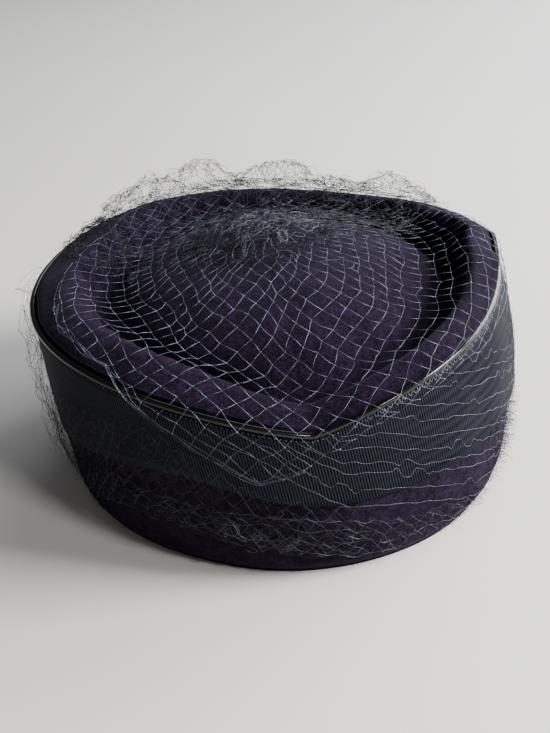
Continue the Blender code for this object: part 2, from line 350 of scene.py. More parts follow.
def strands(lines, radius, sides):
    """Tubes along lines[n, k, 3], open at the ends: rings of points round each line, turned square to it."""
    count, steps = lines.shape[:2]
    along = unit(np.gradient(lines, axis=1))
    aside = unit(np.cross(along, SIDEWAYS))
    upward = np.cross(along, aside)
    turn = np.arange(sides) * TURN / sides
    around = aside[:, :, None] * np.cos(turn)[:, None] + upward[:, :, None] * np.sin(turn)[:, None]
    thick = np.broadcast_to(radius if radius.ndim == 2 else radius[:, None], (count, steps))
    points = lines[:, :, None] + around * thick[:, :, None, None]
    base = np.arange(count)[:, None, None] * (steps * sides)
    return points.reshape(-1, 3), (ring_faces(steps, sides)[None] + base).reshape(-1, 4)


def strand_piece(name, groups, finish):
    """One piece of groups of strands, each with lines, radii and a number of sides, and closed ends."""
    points, faces, offset = [], [], 0
    for lines, radius, sides in groups:
        count, steps = lines.shape[:2]
        made, quads = strands(lines, radius, sides)
        points.append(made)
        faces.append(np.concatenate([quads[:, [0, 1, 2]], quads[:, [0, 2, 3]]]) + offset)
        first = np.arange(count) * steps * sides
        for start, back in ((first, True), (first + (steps - 1) * sides, False)):
            for k in range(1, sides - 1):
                pair = (start + k + 1, start + k) if back else (start + k, start + k + 1)
                faces.append(np.stack([start, *pair], axis=-1) + offset)
        offset += len(made)
    return new_piece(name, np.concatenate(points), np.concatenate(faces), finish)


# Materials


class Value:
    """A socket that holds a number, with maths written as an expression."""

    def __init__(self, shade, socket):
        self.shade = shade
        self.socket = socket

    def join(self, operation, *others):
        return self.shade.node("ShaderNodeMath", {"operation": operation}, dict(enumerate((self, *others))))

    def __add__(self, other):
        return self.join("ADD", other)

    def __mul__(self, other):
        return self.join("MULTIPLY", other)

    def __sub__(self, other):
        return self.join("SUBTRACT", other)

    def sine(self):
        return self.join("SINE")


class Shade:
    """A material with one Principled shader, and the nodes that feed it."""

    def __init__(self, name, **constants):
        self.material = bpy.data.materials.new(name)
        self.material.use_nodes = True
        self.tree = self.material.node_tree
        self.shader = self.tree.nodes["Principled BSDF"]
        for socket, value in constants.items():
            self.shader.inputs[socket.replace("_", " ")].default_value = value

    def node(self, kind, settings=None, sockets=None, out=0):
        """Adds a node: its settings first, then the values or links of its sockets."""
        made = self.tree.nodes.new(kind)
        for key, value in (settings or {}).items():
            if key == "stops":
                self.set_stops(made.color_ramp, value)
            else:
                setattr(made, key, value)
        for key, value in (sockets or {}).items():
            if isinstance(value, Value):
                self.tree.links.new(value.socket, made.inputs[key])
            else:
                made.inputs[key].default_value = value
        return Value(self, made.outputs[out])

    def set_stops(self, ramp_of, stops):
        """Gives a colour ramp its positions and colours."""
        for k, (position, colour) in enumerate(stops):
            stop = ramp_of.elements[k] if k < 2 else ramp_of.elements.new(position)
            stop.position = position
            stop.color = (*colour, 1.0)

    def object_place(self):
        """Place on the piece, in metres."""
        return self.node("ShaderNodeTexCoord", out="Object")

    def own_uv(self):
        """The piece's own UV."""
        return self.node("ShaderNodeUVMap", {"uv_map": "UVMap"}, out="UV")

    def noise(self, place_of, scale, detail=2.0, roughness=0.5):
        """Noise from 0 to 1 with about as many bumps to the metre as its scale."""
        return self.node(
            "ShaderNodeTexNoise",
            sockets={"Vector": place_of, "Scale": scale, "Detail": detail, "Roughness": roughness},
            out="Fac",
        )

    def colours(self, factor, stops):
        """Colour by a factor, from stops of position and colour."""
        return self.node("ShaderNodeValToRGB", {"stops": stops}, {"Fac": factor}, out="Color")

    def feed(self, **links):
        """Links values to the shader's sockets by their names."""
        for socket, value in links.items():
            self.tree.links.new(value.socket, self.shader.inputs[socket.replace("_", " ")])

    def bump(self, height, distance, strength=1.0):
        """Relief from a height of 0 to 1, as deep as a distance."""
        sockets = {"Height": height, "Distance": distance, "Strength": strength}
        self.feed(Normal=self.node("ShaderNodeBump", sockets=sockets, out="Normal"))


def shades(colour, *factors):
    """The colour darkened or lightened by each factor."""
    return [tuple(min(1.0, channel * factor) for channel in colour) for factor in factors]


def felt_finish(colour):
    """Matt felt: fine matted fibres, faint clouds of colour and a soft nap."""
    shade = Shade(
        "wool felt", Roughness=0.95, Sheen_Weight=0.05, Sheen_Roughness=0.45, Specular_IOR_Level=0.08
    )
    shade.shader.inputs["Sheen Tint"].default_value = (0.62, 0.55, 0.8, 1.0)
    at = shade.object_place()
    fibres = shade.noise(at, 1000.0, 4.0, 0.75)
    matting = shade.noise(at, 260.0, 3.0, 0.6)
    clouds = shade.noise(at, 28.0)
    dark, plain, light = shades(colour, 0.35, 1.0, 2.4)
    mix = fibres * 0.6 + matting * 0.25 + clouds * 0.15
    shade.feed(Base_Color=shade.colours(mix, ((0.42, dark), (0.5, plain), (0.58, light))))
    shade.bump(fibres * 0.6 + matting, 0.5 * MM)
    return shade.material


def ribbon_finish(colour):
    """Ribbed ribbon: painted light on the crests of the ribs and painted shade in the grooves, plainer where
    the ribs are pressed flat.
    """
    shade = Shade("ribbed ribbon", Specular_IOR_Level=0.05)
    along = shade.own_uv()
    at = shade.object_place()
    rib = shade.node("ShaderNodeSeparateXYZ", sockets={"Vector": along}, out="X")
    strength = shade.node("ShaderNodeSeparateXYZ", sockets={"Vector": along}, out="Y")
    crest = (rib * TURN).sine() * strength * 0.5 + 0.5
    clouds = shade.noise(at, 60.0, 3.0)
    grain = shade.noise(at, 1200.0, 2.0)
    # Groove and light are painted shade in the grooves and painted light on the crests, set by the phase of
    # each rib
    groove, plain, light = shades(colour, 0.1, 0.85, 2.3)
    mix = crest * 0.7 + clouds * 0.2 + grain * 0.2
    shade.feed(Base_Color=shade.colours(mix, ((0.25, groove), (0.55, plain), (0.85, light))))
    shade.feed(Roughness=clouds * 0.2 + 0.5 - crest * 0.1)
    shade.bump(crest * 0.8 + grain * 0.3, 0.2 * MM, 0.8)
    return shade.material


def piping_finish(colour):
    """Glossy satin bias: fine lengthwise lines under a clear gloss."""
    shade = Shade("piping satin", Coat_Weight=0.35, Coat_Roughness=0.05, Specular_IOR_Level=0.22)
    along = shade.own_uv()
    at = shade.object_place()
    lines = shade.node(
        "ShaderNodeTexWave",
        {"wave_type": "BANDS", "bands_direction": "Y", "wave_profile": "SIN"},
        {"Vector": along, "Scale": 1.6, "Distortion": 0.4, "Detail": 1.0},
        out="Fac",
    )
    clouds = shade.noise(at, 90.0, 3.0)
    dark, plain, light = shades(colour, 0.55, 1.0, 1.5)
    mix = lines * 0.6 + clouds * 0.4
    shade.feed(Base_Color=shade.colours(mix, ((0.25, dark), (0.5, plain), (0.8, light))))
    shade.feed(Roughness=clouds * 0.14 + 0.12)
    shade.bump(lines * 0.7 + clouds * 0.3, 0.06 * MM, 0.6)
    return shade.material


def thread_finish(name, colour, gloss=0.6):
    """Fine thread: a silk sheen with light and dark stretches."""
    shade = Shade(name, Coat_Weight=gloss, Coat_Roughness=0.3, Specular_IOR_Level=gloss + 0.05)
    at = shade.object_place()
    stretches = shade.noise(at, 130.0, 2.0)
    twist = shade.noise(at, 2600.0, 1.0)
    dark, plain, light = shades(colour, 0.3, 1.0, 2.2)
    mix = stretches * 0.7 + twist * 0.3
    shade.feed(Base_Color=shade.colours(mix, ((0.38, dark), (0.5, plain), (0.62, light))))
    shade.feed(Roughness=stretches * 0.3 + 0.3)
    return shade.material


# Felt, ribbon and piping


FELT_COLUMNS = 420
FELT_STEPS = 7  # rows of points to each span of the felt's outer line
INNER_STEP = 3  # of those rows, the inside has one in three
POLE_RADIUS = 0.2 * MM
FELT_CENTRE = np.array((*AXIS, 50 * MM))

# Lumps of the felt: height, length and seed
LUMPS = ((0.35 * MM, 26 * MM, 3), (0.12 * MM, 7 * MM, 4))

# Pleats on the inside of the ring, all round but for the front right: how many fit in a turn, how deep they
# are, and where they fade in and out, by height, by distance inward from the ridge and by angle in degrees
PLEATS = 46
PLEAT_DEPTH = 0.9 * MM
PLEAT_HEIGHT = (66 * MM, 78 * MM)
PLEAT_START = (0, 3 * MM)
PLEAT_END = (9 * MM, 14 * MM)
PLEAT_ANGLE = (60, 90)


def felt_points(wall):
    """Rows of points of the felt from its inner pole down the inside, under the hem and to its outer pole."""
    crown = Crown(np.arange(FELT_COLUMNS) * TURN / FELT_COLUMNS)
    outer = smooth_line(crown.felt(), FELT_STEPS)
    inner = outer + wall * square_to(outer)
    inner[..., 1] = np.maximum(inner[..., 1], 0.0)
    inner = inner[:, :-1:INNER_STEP][:, ::-1]
    rows = np.concatenate([inner, outer[:, :-1]], axis=1).transpose(1, 0, 2)
    points = place(crown.angle[None], np.maximum(rows[..., 0], POLE_RADIUS), rows[..., 1])
    outward = unit(points - FELT_CENTRE)
    lift = sum(height * waves(points, length, seed) for height, length, seed in LUMPS)
    lift = lift * ramp(points[..., 2], 0.5 * MM, 8 * MM)
    points = points + outward * lift[..., None]
    inward = crown.ridge - rows[..., 0]
    pleats = ramp(points[..., 2], *PLEAT_HEIGHT) * ramp(inward, *PLEAT_START) * (1 - ramp(inward, *PLEAT_END))
    turned = crown.angle * PLEATS + 0.8 * np.sin(crown.angle * 9)
    shift = pleats * np.sin(turned) * PLEAT_DEPTH * ramp(np.degrees(crown.angle), *PLEAT_ANGLE)
    return points + shift[..., None] * outward * (1, 1, 0)


class HAT_OT_felt_body(bpy.types.Operator):
    """Builds the felt body"""

    bl_idname = "hat.felt_body"
    bl_label = "Felt body"

    def execute(self, context):
        settings = context.scene.hat_felt
        rows = felt_points(settings.wall)
        count = len(rows)
        points = rows.reshape(-1, 3)
        poles = np.array(((*AXIS, DOME_TOP - settings.wall), (*AXIS, DOME_TOP)))
        quads = ring_faces(count, FELT_COLUMNS)
        last = (count - 1) * FELT_COLUMNS
        faces = np.concatenate(
            [
                quads[:, [0, 1, 2]],
                quads[:, [0, 2, 3]],
                cap_faces(0, FELT_COLUMNS, len(points), False),
                cap_faces(last, FELT_COLUMNS, len(points) + 1, True),
            ]
        )
        felt = new_piece("felt", np.concatenate([points, poles]), faces, felt_finish(settings.colour))
        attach(felt, "root")
        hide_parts("felt_body")
        return {"FINISHED"}


BACK_ROWS = 5
FRONT_ROWS = 11
RIB_COLUMNS = 6  # of points to each rib
RIB_LEAN = 0.16  # sideways for each step up
RIB_FLAT = 0.15  # share of the depth that is left where the ribbon is pressed flat
RIB_SPREAD = 0.85  # half angle, in radians, of the stretch at the front with full ribs


def ribbon_rows(crown, shares):
    """Radii and heights of the back of the ribbon, at shares of the way from its foot to under the piping."""
    head = crown.edge - PIPING_RADIUS - CLEARANCE
    height = crown.foot + (head - crown.foot) * shares[:, None]
    return crown.ribbon_radius(height), height


class HAT_OT_ribbon_band(bpy.types.Operator):
    """Builds the ribbed ribbon"""

    bl_idname = "hat.ribbon_band"
    bl_label = "Ribbon band"

    def execute(self, context):
        settings = context.scene.hat_ribbon
        ribs = round(TURN * RIM_RADIUS / settings.rib)
        columns = ribs * RIB_COLUMNS
        crown = Crown(np.arange(columns) * TURN / columns)
        back, back_height = ribbon_rows(crown, np.linspace(1, 0, BACK_ROWS))
        front, front_height = ribbon_rows(crown, np.linspace(0, 1, FRONT_ROWS))
        front = front + BAND_THICKNESS
        phase = (crown.angle + front_height * RIB_LEAN / RIM_RADIUS) * ribs
        edge = ramp(np.minimum(front_height - crown.foot, crown.edge - front_height), 0, 1.5 * MM)
        wander = waves(place(crown.angle[None], front, front_height), 30 * MM, 8)
        turned = (crown.angle + math.pi) % TURN - math.pi
        strength = RIB_FLAT + (1 - RIB_FLAT) * np.exp(-((turned / RIB_SPREAD) ** 4))
        depth = settings.depth * strength * (0.4 + 0.6 * edge)
        front = front + depth * (np.sin(phase) * (0.8 + 0.3 * wander) - 1)
        radius = np.concatenate([back, front])
        height = np.concatenate([back_height, front_height])
        points = place(crown.angle[None], radius, height)
        faces = loop_faces(len(radius), columns)
        back_phase = np.broadcast_to(crown.angle * ribs, back.shape)
        number = np.concatenate([back_phase, phase]) / TURN
        uv = np.stack(np.broadcast_arrays(number, strength), axis=-1).reshape(-1, 2)
        ribbon = new_piece("ribbon", points.reshape(-1, 3), faces, ribbon_finish(settings.colour), uv)
        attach(ribbon, "root")
        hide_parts("ribbon_band")
        return {"FINISHED"}


PIPING_COLUMNS = 900
PIPING_SIDES = 20

# Grooves along the piping: angles round the cord and half width in radians, depth as a share of its radius
GROOVES = (1.9, 0.9)
GROOVE_WIDTH = 0.22
GROOVE_DEPTH = 0.07


class HAT_OT_piping(bpy.types.Operator):
    """Builds the glossy piping"""

    bl_idname = "hat.piping"
    bl_label = "Piping"

    def execute(self, context):
        settings = context.scene.hat_piping
        crown = Crown(np.arange(PIPING_COLUMNS) * TURN / PIPING_COLUMNS)
        turn = np.arange(PIPING_SIDES)[:, None] * TURN / PIPING_SIDES
        groove = GROOVE_DEPTH * sum(np.exp(-(((turn - at) / GROOVE_WIDTH) ** 2)) for at in GROOVES)
        thick = settings.radius * (1 - groove + 0.03 * np.sin(crown.angle * 41) * np.sin(crown.angle * 17))
        radius = crown.wall + CLEARANCE + settings.radius + thick * np.cos(turn)
        height = crown.edge + thick * np.sin(turn)
        points = place(crown.angle[None], radius, height).reshape(-1, 3)
        uv = np.stack(np.broadcast_arrays(crown.angle * RIM_RADIUS / MM, turn / TURN), axis=-1).reshape(-1, 2)
        finish = piping_finish(settings.colour)
        cord = new_piece("piping_satin", points, loop_faces(PIPING_SIDES, PIPING_COLUMNS), finish, uv)
        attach(cord, "root")
        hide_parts("piping")
        return {"FINISHED"}


# Picots on the ribbon's right side and stitches round its left side: starts in degrees, threads by radius
PICOTS = 120
PICOT_STEPS = 9
PICOT_PITCH = TURN / 300
PICOT_START = 9
PICOT_COLOUR = (0.05, 0.05, 0.062)
PICOT_THREAD = 0.13 * MM
STITCHES = 200
STITCH_PITCH = 1.9 * MM / RIM_RADIUS
STITCH_START = -205
STITCH_THREAD = (0.1 * MM, 0.22 * MM, 0.1 * MM)


def picot_group():
    """Small loops of thread that hang from under the piping."""
    random = np.random.default_rng(21)
    number = np.arange(PICOTS) + random.uniform(-0.2, 0.2, PICOTS)
    middle = number * PICOT_PITCH + math.radians(PICOT_START)
    half = 0.42 * PICOT_PITCH * random.uniform(0.7, 1.2, PICOTS)
    sweep = np.linspace(-1, 1, PICOT_STEPS)
    crown = Crown(middle[:, None] + half[:, None] * sweep * (1.15 - 0.3 * sweep**2))
    drop = random.uniform(1.0, 1.7, PICOTS)[:, None] * MM
    height = crown.edge - PIPING_RADIUS - 0.5 * MM - drop * (1 - sweep**2)
    radius = crown.ribbon_radius(height) + BAND_THICKNESS + 0.12 * MM + 0.25 * MM * (1 - sweep**2)
    return place(crown.angle, radius, height), np.full(PICOTS, PICOT_THREAD), 4


def stitch_group():
    """Short stitches in a row under the piping, thick in their middle."""
    step = STITCH_PITCH * np.array((-0.22, 0.0, 0.22))
    crown = Crown((np.arange(STITCHES) * STITCH_PITCH + math.radians(STITCH_START))[:, None] + step)
    height = crown.edge - PIPING_RADIUS - 1.3 * MM
    radius = crown.ribbon_radius(height) + BAND_THICKNESS + 0.15 * MM
    return place(crown.angle, radius, height), np.tile(STITCH_THREAD, (STITCHES, 1)), 4


class HAT_OT_picots(bpy.types.Operator):
    """Builds the small loops and the stitches along the top of the ribbon"""

    bl_idname = "hat.picots"
    bl_label = "Picot loops and stitches"

    def execute(self, context):
        finish = thread_finish("picot thread", PICOT_COLOUR)
        loops = strand_piece("ribbon_picots", [picot_group(), stitch_group()], finish)
        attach(loops, "root")
        return {"FINISHED"}


# The net


class Drape:
    """The surface that the net lies on, by angle round the crown and distance over the hat from its top."""

    REACH = 210  # entries of the table along the surface, 1 mm apart
    COLUMNS = 361
    STEPS = 12  # places to each span between the points of a section
    RIDGE = 8  # the section's point on the ridge of the ring
    RIM = 11  # its point at the piping
    GAP = 0.6 * MM
    SAG = 3.0 * MM  # over the moat

    def __init__(self):
        crown = Crown(np.linspace(-math.pi, math.pi, self.COLUMNS))
        one = np.ones_like(crown.angle)
        shoulder = crown.dome * 0.80
        points = [(one * 0, one * DOME_TOP)]
        for share in (0.25, 0.5, 0.7, 0.88, 1.0):
            points.append((shoulder * share, crown.dome_height(shoulder * share)))
        top = crown.dome_height(shoulder)
        for share in (0.33, 0.67):
            level = top + (crown.ridge_top - top) * share - self.SAG * 4 * share * (1 - share)
            points.append((shoulder + (crown.ridge - shoulder) * share, level))
        points += [
            (crown.ridge - 1 * MM, crown.ridge_top),
            ((crown.ridge + crown.wall) / 2, crown.edge * 0.3 + crown.ridge_top * 0.7),
            (crown.wall + 1.5 * MM, crown.edge + 1.2 * MM),
            (crown.rim + 0.4 * MM, crown.edge - 1 * MM),
        ]
        for share in (0.85, 0.65, 0.45, 0.25, 0.08):
            height = crown.edge * share
            points.append((crown.net_radius(height), height))
        line = smooth_line(np.stack([np.stack(point, axis=-1) for point in points], axis=-2), self.STEPS)
        line = line + self.GAP * square_to(line)
        length = np.linalg.norm(np.diff(line, axis=1), axis=2).cumsum(1)
        length = np.concatenate([0 * one[:, None], length], axis=1)
        steps = np.arange(self.REACH) * MM
        self.radius = np.stack([np.interp(steps, at, row) for at, row in zip(length, line[..., 0])])
        self.height = np.stack([np.interp(steps, at, row) for at, row in zip(length, line[..., 1])])
        self.reach = length[:, -1]
        self.ridge = length[:, self.RIDGE * self.STEPS]
        self.rim = length[:, self.RIM * self.STEPS]
        self.crown = crown

    def at_angle(self, values, angle):
        """Values of the table's rows at an array of angles."""
        return np.interp((angle + math.pi) % TURN - math.pi, self.crown.angle, values)

    def look(self, angle, distance):
        """Radius and height at arrays of angles and distances, between the nearest entries of the table."""
        column = (angle + math.pi) % TURN / TURN * (self.COLUMNS - 1)
        row = np.clip(distance / MM, 0, self.REACH - 1.001)
        a, b = column.astype(int), row.astype(int)
        a = np.minimum(a, self.COLUMNS - 2)
        s, t = column - a, row - b
        found = []
        for table in (self.radius, self.height):
            low = table[a, b] * (1 - s) + table[a + 1, b] * s
            high = table[a, b + 1] * (1 - s) + table[a + 1, b + 1] * s
            found.append(low * (1 - t) + high * t)
        return found

    def point(self, angle, distance, lift):
        """Points at angles and distances, lifted square to the surface."""
        radius, height = self.look(angle, distance)
        near, near_height = self.look(angle, distance - 1.5 * MM)
        far, far_height = self.look(angle, distance + 1.5 * MM)
        along, down = far - near, far_height - near_height
        size = np.sqrt(along * along + down * down) + TINY
        return place(angle, radius - lift * down / size, height + lift * along / size)


def lattice(mesh, half_width, half_height=None):
    """Knots of a flat net turned by 45 degrees in a box round 0, and the pairs that threads join."""
    half_height = half_width if half_height is None else half_height
    count = int(math.ceil((half_width + half_height) / mesh)) + 2
    i, j = np.meshgrid(np.arange(-count, count + 1), np.arange(-count, count + 1), indexing="ij")
    x, y = ((i + j) * mesh / math.sqrt(2)).ravel(), ((j - i) * mesh / math.sqrt(2)).ravel()
    number = np.arange(i.size).reshape(i.shape)
    pairs = np.concatenate(
        [
            np.stack([number[:-1].ravel(), number[1:].ravel()], axis=-1),
            np.stack([number[:, :-1].ravel(), number[:, 1:].ravel()], axis=-1),
        ]
    )
    inside = (np.abs(x) < half_width) & (np.abs(y) < half_height)
    return x, y, pairs[inside[pairs].all(axis=1)]


def knot_group(at, radius, random, sizes=(0.6, 1.2)):
    """Knots at points: short thick strands, each turned its own way and thin at its ends."""
    way = radius * unit(random.normal(size=at.shape))
    thick = radius * random.uniform(*sizes, (len(at), 1)) * np.array((0.4, 1.0, 0.4))
    return np.stack([at - way, at, at + way], axis=1), thick, 4


def net_groups(net, radius, seed, slack=0.04, steps=3, knots=0.0):
    """Threads of a net's points and pairs, bowed aside, and its knots by their thickness, or none for 0."""
    points, pairs = net
    random = np.random.default_rng(seed)
    start, end = points[pairs[:, 0]][:, None], points[pairs[:, 1]][:, None]
    length = np.linalg.norm(end - start, axis=2, keepdims=True)
    share = np.linspace(0, 1, steps)[None, :, None]
    bow = random.normal(size=start.shape) * length * slack
    curl = random.normal(size=start.shape) * length * slack * (0.7 if steps > 3 else 0)
    lines = start * (1 - share) + end * share + bow * np.sin(math.pi * share) + curl * np.sin(TURN * share)
    groups = [(lines, radius * random.uniform(0.75, 1.2, len(pairs)), 3)]
    if knots:
        groups.append(knot_group(points[np.unique(pairs)], radius * knots, random))
    return groups


def kept(points, pairs, keep, longest):
    """The pairs with both knots kept that aren't too long."""
    pairs = pairs[keep[pairs].all(axis=1)]
    return pairs[np.linalg.norm(points[pairs[:, 0]] - points[pairs[:, 1]], axis=1) < longest]


def on_line(line, turned):
    """Metres that a line of rows of degrees and mm gives at angles in degrees."""
    return np.interp(turned, line[:, 0], line[:, 1]) * MM


# How far past the rim edge the front sheet of the net reaches: angle in degrees, distance in mm
NET_EDGE = np.array(
    ((-180, -12), (-150, -19), (-125, -26), (-100, -22), (-84, -16), (-71, -12), (-55, -10), (-46, -9))
    + ((-40, -3), (-34, 4), (-30, 9), (-25, 13), (-18, 18), (-11, 22), (-4, 15), (4, 7))
    + ((14, 4), (30, 3), (60, 5), (80, 8), (100, 6), (130, 2), (150, -3), (180, -12))
)

# The flat half ring of net that makes the front sheet
FAN_HOLE = 74 * MM
FAN_WIDTH = 200 * MM
FAN_SHIFT = 14 * MM  # of its middle, towards the back of the hat
FAN_OPEN = 22 * MM  # radius of the hole that is left under the tuft
FAN_FOLD = 6 * MM  # net up to this far past the edge is gathered along it
FAN_JITTER = 0.45 * MM

# Ways that the front sheet is pulled out of true: distance, length and seeds
PULLS = ((1.9 * MM, 46 * MM, (31, 32)), (0.55 * MM, 15 * MM, (33, 34)))


def net_edge(drape, angle):
    """Distance from the middle at which the front sheet ends."""
    return drape.at_angle(drape.rim, angle) + on_line(NET_EDGE, np.degrees(angle))


def main_net(settings, drape):
    """The sheet over the crown: a fan of flat net of half a turn, spread over the whole turn of the hat."""
    x, y, pairs = lattice(settings.mesh, FAN_HOLE + FAN_WIDTH)
    spread = np.arctan2(x, y)
    distance = np.hypot(x, y) - FAN_HOLE
    plan = np.stack([distance * np.sin(2 * spread), -distance * np.cos(2 * spread)], axis=-1)
    plan[:, 1] += FAN_SHIFT * (1 - ramp(distance, 20 * MM, 100 * MM))
    flat = np.stack([x, y], axis=-1)
    for pull, length, seeds in PULLS:
        plan += pull * drift(flat, length, seeds)
    plan += np.random.default_rng(35).normal(0, FAN_JITTER, plan.shape)
    new_angle = np.arctan2(plan[:, 0], -plan[:, 1])
    new_distance = np.hypot(plan[:, 0], plan[:, 1])
    edge = np.minimum(net_edge(drape, new_angle), drape.at_angle(drape.reach, new_angle) - 16 * MM)
    over = new_distance - edge
    keep = (distance > FAN_OPEN) & (over < FAN_FOLD) & (np.abs(spread) < math.radians(89))
    new_distance = np.where(over > 0, edge + over * 0.1, new_distance)
    lift = 0.2 * MM + 0.6 * MM * (1 + waves(flat, 30 * MM, 35))
    points = drape.point(new_angle, new_distance, lift)
    return points, kept(points, pairs, keep, settings.mesh * 2)


# Ways that a bunch of net is crumpled: length and distance
CRUMPLES = ((40 * MM, 6.0 * MM), (18 * MM, 3.0 * MM), (8 * MM, 1.1 * MM))

# Bunches of net: half width, shares of it that are left both ways, middle, height and seed
TUFT_NETS = (
    (66 * MM, (0.48, 0.46), (0.0, 14 * MM), 10 * MM, 50),
    (40 * MM, (0.42, 0.62), (-74 * MM, 36 * MM), 6 * MM, 60),
)
CLOUD_NETS = (
    (105 * MM, (0.80, 0.52), (-6 * MM, 46 * MM), 5 * MM, 180),
    (60 * MM, (0.55, 0.60), (50 * MM, 52 * MM), 5 * MM, 210),
)


def crumpled_net(settings, drape, size, squeeze, centre, rise, seed):
    """A bunch of net: a flat net pressed together to a share of its width and ruffled up and down."""
    x, y, pairs = lattice(settings.mesh, size)
    flat = np.stack([x, y], axis=-1)
    plan = flat * np.array(squeeze)
    for k, (length, amount) in enumerate(CRUMPLES):
        plan = plan + amount * drift(flat, length, (seed + k, seed + 10 + k))
    plan = plan + np.array(centre)
    angle = np.arctan2(plan[:, 0], -plan[:, 1])
    distance = np.hypot(plan[:, 0], plan[:, 1])
    keep = (np.hypot(x, y) < size) & (distance < drape.at_angle(drape.rim, angle))
    lift = rise * (0.5 + 0.5 * waves(flat, 24 * MM, seed + 20)) + 0.25 * rise * waves(flat, 9 * MM, seed + 21)
    fall = 1 - ramp(np.hypot(x, y) / size, 0.5, 1.0)
    points = drape.point(angle, distance, 0.3 * MM + np.maximum(lift, 0) * (0.25 + 0.75 * fall))
    return points, kept(points, pairs, keep, settings.mesh * 2)


def bunch_groups(settings, drape, nets, thick, slack, steps):
    """Threads of several bunches of net."""
    groups = []
    for *net, seed in nets:
        bunch = crumpled_net(settings, drape, *net, seed)
        groups += net_groups(bunch, settings.thread * thick, seed + 5, slack, steps)
    return groups


# Peaks of the loose loops over the back of the ring: angle in degrees, height in mm
LOOPS = (
    ((128, 5), (137, 10), (152, 6), (165, 12), (175, 10))
    + ((190, 13), (199, 10), (211, 11), (223, 9), (240, 5))
)
LOOP_LENGTH = 190 * MM  # half of the strip of net that they are made of
LOOP_WIDTH = 21 * MM  # half too
LOOP_SPREAD = 6.5  # degrees to each side of a peak
LOOP_MIDDLE = 182  # degrees
LOOP_REACH = 62  # degrees to each side of that middle


def loop_net(settings, drape, seed):
    """Net that arches loosely over the back of the ring, in separate puffs."""
    x, y, pairs = lattice(settings.mesh, LOOP_LENGTH, LOOP_WIDTH)
    flat = np.stack([x, y], axis=-1)
    angle = math.pi + (x * 0.55 + 5 * MM * waves(flat, 22 * MM, seed)) / RIM_RADIUS
    turned = np.degrees(angle)
    peaks = [high * MM * np.exp(-(((turned - at) / LOOP_SPREAD) ** 2)) for at, high in LOOPS]
    arch = np.cos(np.clip(y / LOOP_WIDTH, -1, 1) * math.pi / 2)
    lift = np.sum(peaks, axis=0) * arch + 1.2 * MM * (1 + waves(flat, 12 * MM, seed + 1))
    across = y * 0.36 + 4.0 * MM * waves(flat, 19 * MM, seed + 2) + 1.2 * MM * waves(flat, 8 * MM, seed + 3)
    points = drape.point(angle, drape.at_angle(drape.ridge, angle) + 6 * MM + across, lift)
    return points, kept(points, pairs, np.abs(turned - LOOP_MIDDLE) < LOOP_REACH, settings.mesh * 2)


# Lines of the net in front of the side: angle in degrees, and height in mm or, if loose, mm that it hangs off
HEM_FOOT = np.array(
    ((-185, 18), (-100, 22), (-75, 16), (-59, 15), (-45, 21), (-28, 20), (-12, 15), (-2, 12), (8, 6), (45, 6))
)
HEM_HEAD = np.array(
    ((-100, 26), (-70, 30), (-47, 37), (-25, 35), (-3, 31), (7, 27), (19, 21), (32, 15), (45, 9))
)
CURTAIN_HEAD = np.array(
    ((-185, 80), (-150, 83), (-88, 81), (-80, 58), (-61, 61), (-48, 65))
    + ((-42, 66), (-35, 69), (-22, 55), (-10, 42), (4, 34), (60, 30))
)
CURTAIN_LOOSE = np.array(((-150, 4.0), (-100, 5.0), (-85, 4.5), (-62, 1.2), (60, 0.8)))
RIGHT_HEAD = np.array(((40, 22), (60, 45), (75, 82), (120, 80), (150, 78), (190, 81)))
RIGHT_FOOT = np.array(((40, 20), (70, 24), (100, 24), (140, 20), (190, 18)))
RIGHT_LOOSE = np.array(((40, 0.6), (90, 1.0), (140, 3.0), (190, 4.0)))

# Nets there: foot, head, first and last angle in degrees, share left of their height, looseness, sag and seed
HEM_NET = (HEM_FOOT, HEM_HEAD, -92, 44, 0.85, CURTAIN_LOOSE, 1.4 * MM, 120)
DEEP_NET = (HEM_FOOT, HEM_HEAD, -72, 44, 0.6, CURTAIN_LOOSE, 2.2 * MM, 140)
CURTAIN_NETS = (
    (HEM_FOOT, CURTAIN_HEAD, -180, 10, 1.1, CURTAIN_LOOSE, 2.5 * MM, 320),
    (HEM_FOOT, CURTAIN_HEAD, -180, 10, 0.85, CURTAIN_LOOSE * (1, 2), 3.0 * MM, 340),
    (RIGHT_FOOT, RIGHT_HEAD, 46, 183, 0.9, RIGHT_LOOSE, 2.0 * MM, 360),
)
SIDE_HEIGHT = 75 * MM  # the most that such a net fills
SIDE_SQUEEZE = 0.8  # share left of their length


def side_net(settings, low, high, first, last, squeeze, loose, sag, seed):
    """Net that hangs in front of the side between two lines of heights, squeezed together upwards."""
    first, last = math.radians(first), math.radians(last)
    half_length = 0.5 * (last - first) * RIM_RADIUS / SIDE_SQUEEZE
    x, y, pairs = lattice(settings.mesh, half_length, 0.5 * SIDE_HEIGHT / squeeze)
    flat = np.stack([x, y], axis=-1)
    wander = 3.0 * MM * waves(flat, 38 * MM, seed + 2) + 0.5 * MM * waves(flat, 12 * MM, seed + 3)
    angle = (first + last) / 2 + (x * SIDE_SQUEEZE + wander) / RIM_RADIUS
    turned = np.degrees(angle)
    bottom, top = on_line(low, turned), on_line(high, turned)
    height = (bottom + top) / 2 + y * squeeze
    height = height + sag * waves(flat, 40 * MM, seed) + 0.22 * sag * waves(flat, 14 * MM, seed + 1)
    keep = (height > bottom) & (height < top + 3 * MM) & (angle > first) & (angle < last)
    height = np.minimum(height, top + (height - top) * 0.15)
    stand = on_line(loose, turned) * (0.55 + 0.45 * waves(flat, 26 * MM, seed + 4))
    lift = 0.4 * MM + stand * ramp(height, 4 * MM, 16 * MM)
    points = place(angle, Crown(angle).net_radius(height) + lift, np.maximum(height, 3 * MM))
    return points, kept(points, pairs, keep, settings.mesh * 2)


